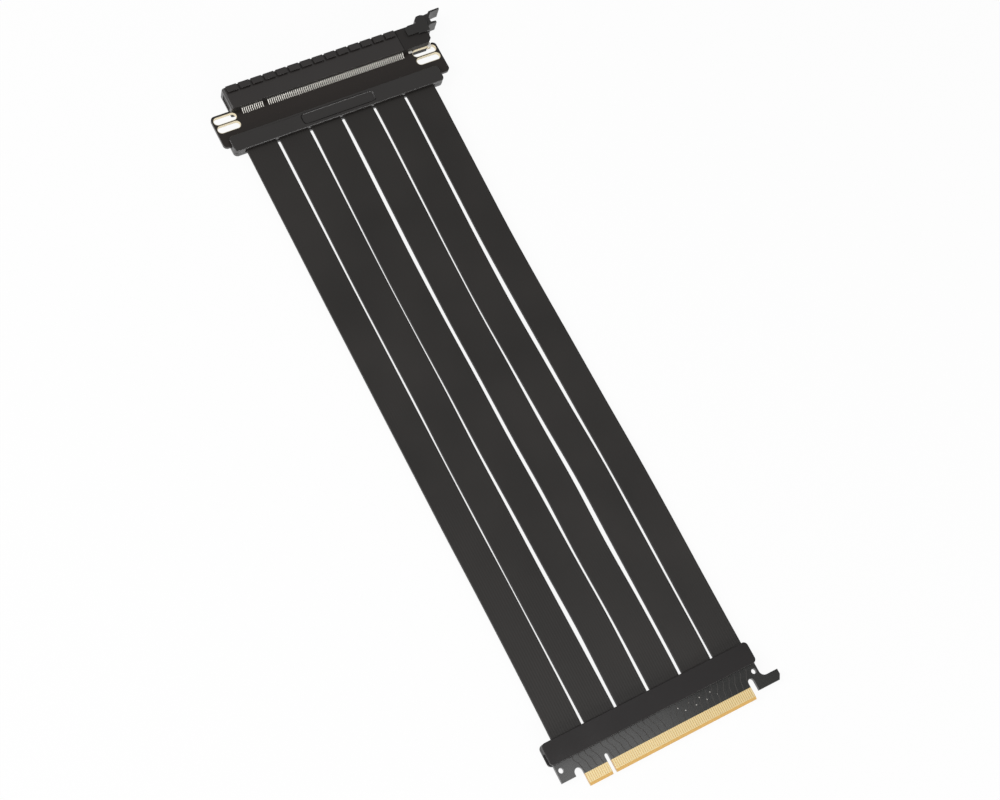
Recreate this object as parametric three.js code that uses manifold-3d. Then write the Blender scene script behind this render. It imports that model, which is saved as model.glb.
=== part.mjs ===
// A graphics card riser cable: a card-edge head and a slot head joined by six flat ribbons.
// Millimetres. X runs along both contact rows, Y from the card head to the slot head's mouth, Z up.
import * as THREE from 'three';
import { mergeVertices } from 'three/addons/utils/BufferGeometryUtils.js';
import Module from 'manifold-3d';

const wasm = await Module();
wasm.setup();

// Contact row, the same on both heads
const contactPitch = 1.0; // centre to centre
const shortCount = 11; // contacts left of the key
const longCount = 71; // contacts right of the key
const keyStep = 3.0; // last short contact to first long contact
const tongueMargin = 0.55; // outer contact's centre to the edge of the tongue
const boardThick = 1.6;

// Card board, with Y = 0 at the tips of its contact tongue
const keyNotchWidth = 1.9;
const keyNotchDepth = 9.0;
const bevelLength = 1.3;
const tipThick = 0.7;
const padLength = 4.3;
const padWidth = 0.7;
const padThick = 0.05;
const tieWidth = 0.25; // plated strip that ties the pads at the bevel
const hookNotchWidth = 3.0;
const hookNotchDepth = 8.9;
const hookLength = 12.1;
const hookLow = 2.8;
const hookHigh = 7.45;
const hookChamferX = 1.4;
const hookChamferY = 2.2;
const hookCorner = 2.5; // inner radius where the hook leaves the board
const shoulder = 7.0; // tongue's right edge to the board's right edge
const wing = 10.7; // tongue's left edge to the board's left edge
const wingLow = 6.05;
const sideNotchWidth = 3.9;
const sideNotchCentre = 7.2;
const cardBoardDepth = 19.7; // tips to the edge that the ribbons meet
const cardHoleRadius = 1.2;
const cardHoleInset = 2.1; // from the board's side edges
const cardHoleHeight = 11.0;

// Covers: two half shells on each head
const coverThick = 5.2; // both shells together
const coverWall = 0.9;
const coverRim = 0.4; // narrow edge of the slot cover over its board
const coverCorner = 2.0;
const cardCoverOn = 5.7; // over the card board
const cardCoverOff = 4.3; // over the ribbons
const cardCoverLeft = 1.3; // past the board's left edge
const cardCoverRight = 0.8; // past the board's right edge
const slotCoverHalf = 54.0; // half of its length along X
const slotCoverOn = 4.0; // over the slot board
const slotCoverOff = 4.4; // over the ribbons
const recessHalf = 18.5; // shallow field on the slot cover, half of its length
const recessWidth = 5.2;
const recessEdge = 1.7; // from the ribbon side of the cover
const recessDepth = 0.25;
const recessCorner = 1.6;
const coverFit = 0.05; // between a cover and the board or ribbons that it holds

// Ribbons
const ribbonCount = 6;
const ribbonPitch = 16.35;
const ribbonWidth = 15.0;
const ribbonThick = 1.1;
const ribbonEdge = 0.3; // rounding of the ribbon's long edges
const ribbonSpan = 304.8; // between the facing edges of the two boards
const ribbonLap = 2.0; // ends soldered on the board's faces
const ribbonLapThick = 0.4;
const ribbonBlock = 1.0; // thick end before the laps
const ribbonSteps = 24; // rings along a ribbon, less one
const ribbonGap = 0.3; // between a ribbon's end and the board's edge
const barWidth = 1.2; // earthing bar beside the laps
const barThick = 0.35;

// Slot board, with Y = 0 at the edge that the ribbons meet
const slotBoardHeight = 16.7;
const slotBoardLip = 0.9; // height beside the connector, past the edge that it sits on
const slotBoardCorner = 2.0;
const earLeft = 10.6; // past the connector's left end
const earRight = 2.3; // past the tower's right end
const earSlotWidth = 3.8;
const earSlotInsets = [7.4, 2.95]; // from the ears' tops
const leftSlotLength = 11.1;
const leftSlotRim = 0.85;
const rightSlotLength = 12.2;
const rightSlotRim = 1.0;

// Connector housing with its end tower
const connectorHeight = 11.2;
const housingHalf = 3.75; // half of its thickness
const housingEnd = 4.7; // first contact to the plastic's left end
const housingCorner = 0.9;
const bodyPastRow = 0.8; // last contact to the shield's end
const towerGap = 0.3;
const towerLength = 14.7;
const towerHalf = 3.95;
const towerChamfer = 1.9;
const slotFloor = 2.5; // bottom of the card slot above the seat
const slotHalf = 0.95;
const slotEnd = 0.9; // first contact to the slot's end
const endWall = 2.4; // wall that the card's hook notch straddles
const keyRibWidth = 1.5;
const keyRibBelowMouth = 0.5;
const contactPocket = 1.5; // half-width of the widened slot behind the contacts
const contactLip = 1.7; // unwidened rim at the mouth

// Contacts: flat strips from the board's face up into the card slot
const leadWidth = 0.4;
const leadThick = 0.2;
const leadFoot = 2.3; // on the board's face, below the seat
const leadTop = 2.2; // below the mouth
const leadTie = 0.5; // above the seat, where the leads join the strip inside the housing
const leadFit = 0.05;

// Board locks: tinned clips that straddle the slot board
const lockWidth = 2.0;
const lockThick = 0.3;
const lockFoot = 1.0;
const lockDepth = 1.2;
const lockPlaces = [3.2, 13.4]; // from the tower's left side, less the gap

// Steel shield around the housing
const shieldThick = 0.3;
const shieldFit = 0.05;
const tabCount = 14;
const tabGap = 0.95;
const tabDrop = 3.2;
const tabRise = 1.05;
const windowMargin = 2.2;
const windowHalf = 2.0;

// Latch
const latchGap = 0.3;
const latchTurn = { inward: 2.1, up: 3.7 }; // pivot from the tower's end and from the seat
const trunnionRadius = 0.9;
const trunnionHalf = 2.9;
const bossRadius = 1.6;
const armHalf = 1.3;
const finHalf = 3.5;
const cheekThick = 0.8;
const noseHalf = 0.65;

// Derived places
const rowLength = (shortCount - 1 + longCount - 1) * contactPitch + keyStep;
const firstX = -rowLength / 2;
const lastX = rowLength / 2;
const keyX = firstX + (shortCount - 1) * contactPitch + keyStep / 2;
const boardHalf = boardThick / 2;
const coverHalf = coverThick / 2;
const tongueLeft = firstX - tongueMargin;
const tongueRight = lastX + tongueMargin;
const cardLeft = tongueLeft - wing;
const cardRight = tongueRight + shoulder;
const housingLeft = firstX - housingEnd;
const shieldRight = lastX + bodyPastRow;
const towerLeft = shieldRight + towerGap;
const towerRight = towerLeft + towerLength;
const shieldLeft = housingLeft - shieldFit - shieldThick;
const shieldFace = housingHalf + shieldFit + shieldThick;
const seatY = slotBoardHeight - slotBoardLip;
const mouthY = seatY + connectorHeight;
const pivot = new THREE.Vector2(towerRight - latchTurn.inward, seatY + latchTurn.up);
const slotBoardLeft = shieldLeft - earLeft;
const slotBoardRight = towerRight + earRight;
const slotHeadY = cardBoardDepth + ribbonSpan;
const restHalf = shieldFace + tabRise; // the slot head lies on its shield tabs
const cardDrop = restHalf - coverHalf; // the card head lies this much lower, on the same surface
const ribbonsHalf = ((ribbonCount - 1) * ribbonPitch + ribbonWidth) / 2 + 0.6;

// Materials
const blackPlastic = material(0x2b2a29, 0.5, 0);
const coverPlastic = material(0x3a3736, 0.42, 0);
const ribbonSkin = material(0x2c2a28, 0.6, 0);
const boardMask = material(0x23201e, 0.35, 0);
const blackSteel = material(0x2e2d2b, 0.4, 0.6);
const tin = material(0xcfc8c0, 0.35, 0.9);
const gold = material(0xe0b458, 0.3, 0.9);

function material(color, roughness, metalness) {
  return new THREE.MeshStandardMaterial({ color, roughness, metalness });
}

function outline(points, holes = []) {
  const shape = new THREE.Shape(points.map(([x, y]) => new THREE.Vector2(x, y)));
  shape.holes = holes;
  return shape;
}

function rounded(left, right, low, high, radius) {
  const shape = new THREE.Shape();
  shape.moveTo(left + radius, low);
  shape.lineTo(right - radius, low);
  shape.absarc(right - radius, low + radius, radius, -Math.PI / 2, 0, false);
  shape.lineTo(right, high - radius);
  shape.absarc(right - radius, high - radius, radius, 0, Math.PI / 2, false);
  shape.lineTo(left + radius, high);
  shape.absarc(left + radius, high - radius, radius, Math.PI / 2, Math.PI, false);
  shape.lineTo(left, low + radius);
  shape.absarc(left + radius, low + radius, radius, Math.PI, 1.5 * Math.PI, false);
  return shape;
}

function disc(x, y, radius) {
  return new THREE.Shape().absarc(x, y, radius, 0, 2 * Math.PI, false);
}

function extrude(shape, depth, curveSegments) {
  return new THREE.ExtrudeGeometry(shape, { depth, bevelEnabled: false, curveSegments });
}

// An outline in X and Y, carried from one height to another
function slab(shape, low, high, curveSegments = 5) {
  return extrude(shape, high - low, curveSegments).translate(0, 0, low);
}

// An outline in Y and Z, carried along X
function rail(shape, left, right, curveSegments = 5) {
  const turn = new THREE.Matrix4().makeBasis(
    new THREE.Vector3(0, 1, 0),
    new THREE.Vector3(0, 0, 1),
    new THREE.Vector3(1, 0, 0),
  );
  return extrude(shape, right - left, curveSegments).applyMatrix4(turn).translate(left, 0, 0);
}

// An outline in X and Z, carried along Y
function channel(shape, near, far, curveSegments = 5) {
  const turn = new THREE.Matrix4().makeBasis(
    new THREE.Vector3(1, 0, 0),
    new THREE.Vector3(0, 0, 1),
    new THREE.Vector3(0, -1, 0),
  );
  return extrude(shape, far - near, curveSegments).applyMatrix4(turn).translate(0, far, 0);
}

function block(x, y, z) {
  const box = new THREE.BoxGeometry(x[1] - x[0], y[1] - y[0], z[1] - z[0]);
  return box.translate((x[0] + x[1]) / 2, (y[0] + y[1]) / 2, (z[0] + z[1]) / 2);
}

function solid(geometry) {
  const bare = geometry.clone();
  bare.deleteAttribute('normal');
  bare.deleteAttribute('uv');
  const merged = mergeVertices(bare, 1e-5);
  const vertProperties = Float32Array.from(merged.attributes.position.array);
  const triVerts = Uint32Array.from(merged.index.array);
  return new wasm.Manifold(new wasm.Mesh({ numProp: 3, vertProperties, triVerts }));
}

function join(...geometries) {
  return geometries.map(solid).reduce((whole, next) => whole.add(next));
}

function cut(whole, ...geometries) {
  return geometries.map(solid).reduce((rest, next) => rest.subtract(next), whole);
}

function surface(body) {
  const { vertProperties, triVerts } = body.getMesh();
  const geometry = new THREE.BufferGeometry();
  geometry.setAttribute('position', new THREE.BufferAttribute(Float32Array.from(vertProperties), 3));
  geometry.setIndex(Array.from(triVerts));
  geometry.computeVertexNormals();
  return geometry;
}

function piece(name, geometry, look) {
  const mesh = new THREE.Mesh(geometry, look);
  mesh.name = name;
  return mesh;
}

// The same piece on the other face of a board, with its faces turned outwards again
function mirrored(geometry) {
  const flat = geometry.index ? geometry.toNonIndexed() : geometry.clone();
  const position = flat.attributes.position;
  for (let i = 0; i < position.count; i += 3) {
    const first = new THREE.Vector3().fromBufferAttribute(position, i);
    const third = new THREE.Vector3().fromBufferAttribute(position, i + 2);
    position.setXYZ(i, third.x, third.y, -third.z);
    position.setZ(i + 1, -position.getZ(i + 1));
    position.setXYZ(i + 2, first.x, first.y, -first.z);
  }
  flat.computeVertexNormals();
  return flat;
}

// Centres of the contacts on one side of the key
function contactRow(section) {
  const start = section === 'short' ? firstX : keyX + keyStep / 2;
  const count = section === 'short' ? shortCount : longCount;
  return Array.from({ length: count }, (_, i) => start + i * contactPitch);
}

// A row of straight teeth that stand on one edge of a strip, with the strip's other edge plain
function comb(centres, width, tip, root, back) {
  const half = width / 2;
  const teeth = centres.flatMap((x) => [[x - half, root], [x - half, tip], [x + half, tip], [x + half, root]]);
  const last = centres[centres.length - 1];
  return outline([...teeth.slice(1, -1), [last + half, back], [centres[0] - half, back]]);
}

function cardBoard() {
  const keyTop = keyNotchDepth - keyNotchWidth / 2;
  const hookTop = hookNotchDepth - hookNotchWidth / 2;
  const hookLeft = tongueRight + hookNotchWidth;
  const hookRight = hookLeft + hookLength;
  const sideCentre = tongueLeft - sideNotchWidth / 2;
  const shape = new THREE.Shape();
  shape.moveTo(tongueLeft, 0);
  shape.lineTo(keyX - keyNotchWidth / 2, 0);
  shape.lineTo(keyX - keyNotchWidth / 2, keyTop);
  shape.absarc(keyX, keyTop, keyNotchWidth / 2, Math.PI, 0, true);
  shape.lineTo(keyX + keyNotchWidth / 2, 0);
  shape.lineTo(tongueRight, 0);
  shape.lineTo(tongueRight, hookTop);
  shape.absarc(tongueRight + hookNotchWidth / 2, hookTop, hookNotchWidth / 2, Math.PI, 0, true);
  shape.lineTo(hookLeft, hookLow);
  shape.lineTo(hookRight - hookChamferX, hookLow);
  shape.lineTo(hookRight, hookLow + hookChamferY);
  shape.lineTo(hookRight, hookHigh);
  shape.lineTo(cardRight + hookCorner, hookHigh);
  shape.absarc(cardRight + hookCorner, hookHigh + hookCorner, hookCorner, 1.5 * Math.PI, Math.PI, true);
  shape.lineTo(cardRight, cardBoardDepth);
  shape.lineTo(cardLeft, cardBoardDepth);
  shape.lineTo(cardLeft, wingLow);
  shape.lineTo(tongueLeft - sideNotchWidth, wingLow);
  shape.lineTo(tongueLeft - sideNotchWidth, sideNotchCentre);
  shape.absarc(sideCentre, sideNotchCentre, sideNotchWidth / 2, Math.PI, 0, true);
  shape.holes = [
    disc(cardLeft + cardHoleInset, cardHoleHeight, cardHoleRadius),
    disc(cardRight - cardHoleInset, cardHoleHeight, cardHoleRadius),
  ];
  const rise = (boardHalf - tipThick / 2) / bevelLength;
  const bevel = outline([
    [bevelLength, boardHalf],
    [bevelLength, boardThick],
    [-bevelLength, boardThick],
    [-bevelLength, boardHalf - 2 * bevelLength * rise],
  ]);
  const over = rail(bevel, tongueLeft - wing, tongueRight + wing);
  return surface(cut(solid(slab(shape, -boardHalf, boardHalf)), over, mirrored(over)));
}

function fingerPads(section) {
  const top = bevelLength + padLength;
  const shape = comb(contactRow(section), padWidth, top, bevelLength + tieWidth, bevelLength);
  return slab(shape, boardHalf, boardHalf + padThick);
}

// Upper half shell of a head, hollow over the ends of the ribbons
function coverShell({ left, right, near, far, boardFrom, boardTo, ribbonsAt, inner }) {
  const shell = solid(slab(rounded(left, right, near, far, coverCorner), 0, coverHalf));
  const reach = coverThick;
  const board = block([left - reach, right + reach], [boardFrom, boardTo], [-1, boardHalf + coverFit]);
  const opening = block(
    [-ribbonsHalf, ribbonsHalf],
    ribbonsAt,
    [-1, ribbonThick / 2 + coverFit],
  );
  const cavity = block([-ribbonsHalf, ribbonsHalf], inner, [-1, coverHalf - coverWall]);
  return cut(shell, board, opening, cavity);
}

function cardCover() {
  const near = cardBoardDepth - cardCoverOn;
  const far = cardBoardDepth + cardCoverOff;
  const left = cardLeft - cardCoverLeft;
  const right = cardRight + cardCoverRight;
  const shell = coverShell({
    left,
    right,
    near,
    far,
    boardFrom: near - 1,
    boardTo: cardBoardDepth + coverFit,
    ribbonsAt: [cardBoardDepth, far + 1],
    inner: [near + 2 * coverWall, far - coverWall],
  });
  const beside = [near + coverCorner, cardBoardDepth + 1];
  const filled = [0, boardHalf + 2 * coverFit];
  const sides = [
    block([left + coverFit, cardLeft - coverFit], beside, filled),
    block([cardRight + coverFit, right - coverFit], beside, filled),
  ];
  return sides.map(solid).reduce((whole, next) => whole.add(next), shell);
}

function slotCover() {
  const near = -slotCoverOff;
  const far = slotCoverOn;
  return coverShell({
    left: -slotCoverHalf,
    right: slotCoverHalf,
    near,
    far,
    boardFrom: -coverFit,
    boardTo: far + 1,
    ribbonsAt: [near - 1, 0],
    inner: [near + coverWall, far - coverRim],
  });
}

function slotCoverFront() {
  const low = -slotCoverOff + recessEdge;
  const field = rounded(-recessHalf, recessHalf, low, low + recessWidth, recessCorner);
  return surface(cut(slotCover(), slab(field, coverHalf - recessDepth, coverThick)));
}

function earSlot(left, right, height) {
  return rounded(left, right, height - earSlotWidth / 2, height + earSlotWidth / 2, earSlotWidth / 2 - 0.01);
}

function slotBoard() {
  const notchLeft = shieldLeft - towerGap;
  const notchRight = towerRight + towerGap;
  const corner = slotBoardCorner;
  const shape = new THREE.Shape();
  shape.moveTo(slotBoardLeft + corner, 0);
  shape.lineTo(slotBoardRight - corner, 0);
  shape.absarc(slotBoardRight - corner, corner, corner, -Math.PI / 2, 0, false);
  shape.lineTo(slotBoardRight, slotBoardHeight - corner);
  shape.absarc(slotBoardRight - corner, slotBoardHeight - corner, corner, 0, Math.PI / 2, false);
  shape.lineTo(notchRight, slotBoardHeight);
  shape.lineTo(notchRight, seatY);
  shape.lineTo(notchLeft, seatY);
  shape.lineTo(notchLeft, slotBoardHeight);
  shape.lineTo(slotBoardLeft + corner, slotBoardHeight);
  shape.absarc(slotBoardLeft + corner, slotBoardHeight - corner, corner, Math.PI / 2, Math.PI, false);
  shape.lineTo(slotBoardLeft, corner);
  shape.absarc(slotBoardLeft + corner, corner, corner, Math.PI, 1.5 * Math.PI, false);
  const leftStart = slotBoardLeft + leftSlotRim;
  const rightEnd = slotBoardRight - rightSlotRim;
  shape.holes = earSlotInsets.flatMap((inset) => [
    earSlot(leftStart, leftStart + leftSlotLength, slotBoardHeight - inset),
    earSlot(rightEnd - rightSlotLength, rightEnd, slotBoardHeight - inset),
  ]);
  return slab(shape, -boardHalf, boardHalf, 4);
}

function lockCentre(place) {
  return towerLeft + place;
}

function slotHousing() {
  const corner = housingCorner;
  const section = new THREE.Shape();
  section.moveTo(towerLeft, -housingHalf);
  section.lineTo(towerLeft, housingHalf);
  section.lineTo(housingLeft + corner, housingHalf);
  section.absarc(housingLeft + corner, housingHalf - corner, corner, Math.PI / 2, Math.PI, false);
  section.lineTo(housingLeft, corner - housingHalf);
  section.absarc(housingLeft + corner, corner - housingHalf, corner, Math.PI, 1.5 * Math.PI, false);
  const tower = outline([
    [towerLeft, seatY],
    [towerRight - towerChamfer, seatY],
    [towerRight, seatY + towerChamfer],
    [towerRight, mouthY],
    [towerLeft, mouthY],
  ]);
  const whole = join(channel(section, seatY, mouthY), slab(tower, -towerHalf, towerHalf));
  const floorY = seatY + slotFloor;
  const above = mouthY + 1;
  const wallRight = shieldRight + endWall;
  const cuts = [
    block([firstX - slotEnd, keyX - keyRibWidth / 2], [floorY, above], [-slotHalf, slotHalf]),
    block([keyX + keyRibWidth / 2, shieldRight], [floorY, above], [-slotHalf, slotHalf]),
    block(
      [keyX - keyRibWidth, keyX + keyRibWidth],
      [mouthY - keyRibBelowMouth, above],
      [-slotHalf, slotHalf],
    ),
    block([wallRight, towerRight + 1], [floorY + hookLow - latchGap, above], [-slotHalf, slotHalf]),
    block(
      [pivot.x - bossRadius - latchGap, towerRight + 1],
      [pivot.y - bossRadius - latchGap, above],
      [-armHalf - latchGap, armHalf + latchGap],
    ),
    slab(disc(pivot.x, pivot.y, trunnionRadius + latchGap), -trunnionHalf - latchGap, trunnionHalf + latchGap),
  ];
  for (const name of ['short', 'long']) {
    const row = contactRow(name);
    const span = [row[0] - contactPitch / 2, row[row.length - 1] + contactPitch / 2];
    cuts.push(block(span, [floorY, mouthY - contactLip], [-contactPocket, contactPocket]));
    for (const side of [1, -1]) {
      const faces = [boardHalf - leadFit, boardHalf + leadThick + leadFit].map((z) => z * side);
      faces.sort((a, b) => a - b);
      cuts.push(block(span, [seatY - 1, floorY + leadFit], faces));
    }
  }
  const lockHalf = lockWidth / 2 + leadFit;
  const lockOut = boardHalf + lockThick + leadFit;
  for (const place of lockPlaces) {
    const x = lockCentre(place);
    cuts.push(block([x - lockHalf, x + lockHalf], [seatY - 1, seatY + lockDepth + leadFit], [-lockOut, lockOut]));
  }
  return surface(cut(whole, ...cuts));
}

function contactComb(section) {
  const shape = comb(contactRow(section), leadWidth, seatY - leadFoot, seatY + leadTie, mouthY - leadTop);
  return slab(shape, boardHalf, boardHalf + leadThick);
}

function boardLock(place) {
  const x = lockCentre(place);
  const outer = boardHalf + lockThick;
  const top = seatY + lockDepth;
  const shape = outline([
    [seatY - lockFoot, boardHalf],
    [top - lockThick, boardHalf],
    [top - lockThick, -boardHalf],
    [seatY - lockFoot, -boardHalf],
    [seatY - lockFoot, -outer],
    [top, -outer],
    [top, outer],
    [seatY - lockFoot, outer],
  ]);
  return rail(shape, x - lockWidth / 2, x + lockWidth / 2);
}

// One tongue of the shield, folded outwards over the mouth's edge and down, its lower end standing off
function tabFold(left, right) {
  const face = shieldFace;
  const lip = 0.3;
  const shape = outline([
    [mouthY - 2 * lip, face - shieldThick / 2],
    [mouthY, face - shieldThick / 2],
    [mouthY + lip, face + lip / 2],
    [mouthY + lip / 2, face + 2 * lip],
    [mouthY - lip, face + tabRise - lip],
    [mouthY - tabDrop, face + tabRise],
    [mouthY - tabDrop, face + tabRise - shieldThick],
    [mouthY - 2 * lip, face + lip],
  ]);
  return rail(shape, left, right);
}

function slotShield() {
  const inner = housingHalf + shieldFit;
  const bend = housingCorner + shieldFit;
  const outerBend = bend + shieldThick;
  const insideLeft = housingLeft - shieldFit;
  const section = new THREE.Shape();
  section.moveTo(shieldRight, inner);
  section.lineTo(shieldRight, shieldFace);
  section.lineTo(shieldLeft + outerBend, shieldFace);
  section.absarc(shieldLeft + outerBend, shieldFace - outerBend, outerBend, Math.PI / 2, Math.PI, false);
  section.lineTo(shieldLeft, outerBend - shieldFace);
  section.absarc(shieldLeft + outerBend, outerBend - shieldFace, outerBend, Math.PI, 1.5 * Math.PI, false);
  section.lineTo(shieldRight, -shieldFace);
  section.lineTo(shieldRight, -inner);
  section.lineTo(insideLeft + bend, -inner);
  section.absarc(insideLeft + bend, bend - inner, bend, 1.5 * Math.PI, Math.PI, true);
  section.lineTo(insideLeft, inner - bend);
  section.absarc(insideLeft + bend, inner - bend, bend, Math.PI, Math.PI / 2, true);
  const wrap = channel(section, seatY, mouthY);
  const start = shieldLeft + outerBend;
  const step = (shieldRight - start) / tabCount;
  const folds = [];
  for (let i = 0; i < tabCount; i += 1) {
    const fold = tabFold(start + i * step + tabGap / 2, start + (i + 1) * step - tabGap / 2);
    folds.push(fold, mirrored(fold));
  }
  const pane = block(
    [shieldLeft - 1, insideLeft + shieldFit / 2],
    [seatY + windowMargin, mouthY - windowMargin],
    [-windowHalf, windowHalf],
  );
  return surface(cut(join(wrap, ...folds), pane));
}

function latch() {
  const end = towerRight;
  const top = mouthY;
  const inside = end + latchGap;
  const spine = end + 1.6;
  const reach = Math.hypot(end - pivot.x, top - pivot.y);
  const yokeLow = pivot.y + reach + latchGap;
  const cheekIn = towerHalf + latchGap;
  const cheekOut = cheekIn + cheekThick;
  const fins = outline([
    [inside, pivot.y + 1.5],
    [spine, pivot.y + 1.5],
    [spine, top - 3.6],
    [end + 3.4, top - 2.4],
    [end + 7.1, top - 2.3],
    [end + 7.0, top - 1.4],
    [end + 4.6, top - 1.1],
    [end + 4.6, top + 1.3],
    [end + 6.5, top + 3.5],
    [end + 11.5, top + 3.9],
    [end + 11.5, top + 4.7],
    [end + 6.0, top + 4.5],
    [end + 5.0, top + 3.6],
    [inside, top + 3.1],
  ]);
  const cheek = outline([
    [end - 10.1, top - 5.2],
    [end - 4.6, top - 5.2],
    [end - 4.6, top - 5.9],
    [spine - 0.2, top - 5.9],
    [spine, top - 3.0],
    [spine, top + 2.6],
    [end + 0.2, top + 3.2],
    [end - 2.0, top + 3.0],
    [end - 3.6, top + 1.4],
    [end - 3.8, top - 0.2],
    [end - 8.2, top - 0.2],
    [end - 10.1, top - 1.6],
  ]);
  const yoke = outline([
    [end - 3.6, yokeLow],
    [spine, yokeLow],
    [spine, top + 2.6],
    [end + 0.2, top + 3.2],
    [end - 2.0, top + 3.0],
    [end - 3.6, top + 1.4],
  ]);
  const arm = outline([
    [pivot.x, pivot.y - bossRadius + 0.1],
    [spine - 0.3, pivot.y - 0.6],
    [spine, pivot.y + 2.2],
    [inside, pivot.y + 2.2],
    [inside, pivot.y + bossRadius - 0.1],
    [pivot.x, pivot.y + bossRadius - 0.1],
  ]);
  const nose = outline([
    [end - 7.0, top - 0.6],
    [end - 4.2, top - 0.6],
    [end - 3.0, yokeLow],
    [end - 3.0, top + 1.5],
    [end - 4.6, top + 1.0],
  ]);
  return surface(join(
    slab(fins, -finHalf, finHalf),
    slab(cheek, cheekIn, cheekOut),
    slab(cheek, -cheekOut, -cheekIn),
    slab(yoke, -cheekOut, cheekOut),
    slab(arm, -armHalf, armHalf),
    slab(disc(pivot.x, pivot.y, bossRadius), -armHalf, armHalf),
    slab(disc(pivot.x, pivot.y, trunnionRadius), -trunnionHalf, trunnionHalf),
    slab(nose, -noseHalf, noseHalf),
  ));
}

// Thin bar across the boards, over the screens of the ribbons
function earthBar(near) {
  const half = ribbonsHalf - 1;
  return block([-half, half], [near, near + barWidth], [boardHalf, boardHalf + barThick]);
}

// Route of each ribbon: how far its middle lies off its own pitch line, at stations from the card head
const stations = [0, 12, 40, 70, 100, 130, 160, 190, 220, 250, 280, 296, 304.8];
const sway = [
  [0.0, 0.2, 0.4, 0.4, 0.2, 0.2, 0.2, 0.2, 0.1, 0.1, 0.0, 0.0, 0.0],
  [0.0, 0.0, -0.2, -0.4, -0.4, -0.5, -0.2, -0.3, -0.4, -0.2, 0.0, 0.0, 0.0],
  [0.0, 0.1, 0.5, 0.0, -0.3, -0.8, -0.8, -1.1, -1.2, -0.8, -0.3, 0.0, 0.0],
  [0.0, 0.2, 0.2, -0.3, 0.0, -0.5, -0.6, -0.9, -0.7, -0.3, 0.1, 0.1, 0.0],
  [0.0, 0.3, 0.4, 0.5, 0.7, -0.2, -0.9, -1.5, -1.3, -0.7, -0.1, 0.1, 0.0],
  [0.0, 0.0, 0.1, 0.4, 0.4, 0.0, -0.3, -0.7, -0.9, -0.5, -0.1, 0.1, 0.0],
];
const dip = [1.0, 0.98, 0.94, 0.96, 1.0, 1.02, 1.0, 0.94, 0.78, 0.52, 0.2, 0.04, 0.0];

function ribbonRoute(index) {
  const middle = (index - (ribbonCount - 1) / 2) * ribbonPitch;
  const scale = ribbonSpan / stations[stations.length - 1];
  const points = stations.map((y, i) => new THREE.Vector3(
    middle + sway[index % sway.length][i],
    cardBoardDepth + y * scale,
    -cardDrop * dip[i],
  ));
  return new THREE.CatmullRomCurve3(points, false, 'centripetal');
}

// A ribbon as rings of a flat, round-edged section square to its route
function ribbonBody(route, steps) {
  const half = ribbonWidth / 2;
  const high = ribbonThick / 2;
  const edge = ribbonEdge;
  const section = [
    [-half, edge - high], [edge - half, -high], [half - edge, -high], [half, edge - high],
    [half, high - edge], [half - edge, high], [edge - half, high], [-half, high - edge],
  ];
  const from = (ribbonGap + ribbonBlock / 2) / ribbonSpan;
  const positions = [];
  for (let i = 0; i <= steps; i += 1) {
    const along = from + (1 - 2 * from) * (i / steps);
    const centre = route.getPoint(along);
    for (const [across, up] of section) {
      positions.push(centre.x + across, centre.y, centre.z + up);
    }
  }
  const sides = section.length;
  const index = [];
  for (let i = 0; i < steps; i += 1) {
    for (let j = 0; j < sides; j += 1) {
      const a = i * sides + j;
      const b = i * sides + ((j + 1) % sides);
      index.push(a, b + sides, b, a, a + sides, b + sides);
    }
  }
  for (let j = 1; j < sides - 1; j += 1) {
    const last = steps * sides;
    index.push(0, j, j + 1, last, last + j + 1, last + j);
  }
  const geometry = new THREE.BufferGeometry();
  geometry.setAttribute('position', new THREE.Float32BufferAttribute(positions, 3));
  geometry.setIndex(index);
  return geometry;
}

// The ribbon's end: a block at the board's edge with a lap on each face of the board
function ribbonEnd(x, edgeY, inward, z) {
  const half = ribbonWidth / 2 - ribbonEdge;
  const out = boardHalf + ribbonLapThick;
  const across = [x - half, x + half];
  const ordered = (a, b) => (a < b ? [a, b] : [b, a]);
  const start = edgeY + inward * ribbonGap;
  const stem = ordered(start, start + inward * ribbonBlock);
  const lap = ordered(start + inward * ribbonBlock, edgeY - inward * ribbonLap);
  return [
    block(across, stem, [z - out, z + out]),
    block(across, lap, [z + boardHalf, z + out]),
    block(across, lap, [z - out, z - boardHalf]),
  ];
}

function ribbon(index) {
  const route = ribbonRoute(index);
  const cardEnd = route.getPoint(0);
  const slotEnd = route.getPoint(1);
  return surface(join(
    ribbonBody(route, ribbonSteps),
    ...ribbonEnd(cardEnd.x, cardBoardDepth, 1, -cardDrop),
    ...ribbonEnd(slotEnd.x, slotHeadY, -1, 0),
  ));
}

function cardHead() {
  const head = new THREE.Group();
  const cover = surface(cardCover());
  const bar = earthBar(cardBoardDepth - ribbonLap - 0.3 - barWidth);
  head.add(
    piece('card_board', cardBoard(), boardMask),
    piece('card_cover_front', cover, coverPlastic),
    piece('card_cover_back', mirrored(cover), coverPlastic),
    piece('card_earth_bar_front', bar, tin),
    piece('card_earth_bar_back', mirrored(bar), tin),
  );
  for (const section of ['short', 'long']) {
    const pads = fingerPads(section);
    head.add(piece(`finger_pads_front_${section}`, pads, gold));
    head.add(piece(`finger_pads_back_${section}`, mirrored(pads), gold));
  }
  head.position.z = -cardDrop;
  return head;
}

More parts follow.
